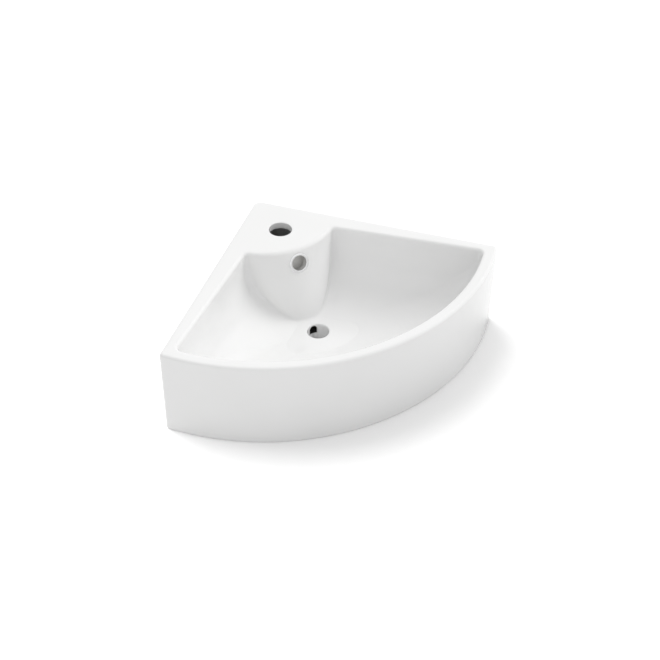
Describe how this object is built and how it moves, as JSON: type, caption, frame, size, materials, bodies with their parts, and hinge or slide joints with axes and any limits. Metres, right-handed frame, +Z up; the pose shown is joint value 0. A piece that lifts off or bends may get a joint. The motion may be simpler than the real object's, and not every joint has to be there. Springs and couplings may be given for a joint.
{
  "type": "corner basin",
  "caption": "Wall-hung corner basin with a fan-shaped bowl, tap deck, waste hole, overflow and two wall fixings.",
  "frame": {"origin": "where the planes of the two wall faces and of the basin's lower edge meet, in the corner of the walls; the basin's back edge is rounded, so the origin lies just outside the china", "axes": "+Z up; -Y from the wall corner to the middle of the round front; +X to the right wall seen from the front; symmetric about X = 0"},
  "size_m": [0.4632, 0.3388, 0.119],
  "materials": {
    "white_glaze": "glossy white glaze",
    "bare_china": "unglazed, matt",
    "bright_plating": "polished plating",
    "dark_rubber": "matt",
    "zinc_steel": "zinc-plated",
    "white_nylon": "moulded, satin"
  },
  "bodies": {
    "root": {"basin_body": "white_glaze", "overflow_duct": "bare_china", "overflow_ring": "bright_plating", "overflow_ring_grip": "dark_rubber", "stud_nuts": "zinc_steel", "stud_sleeves": "white_nylon", "stud_washers": "zinc_steel", "wall_studs": "zinc_steel"}
  },
  "joints": []
}
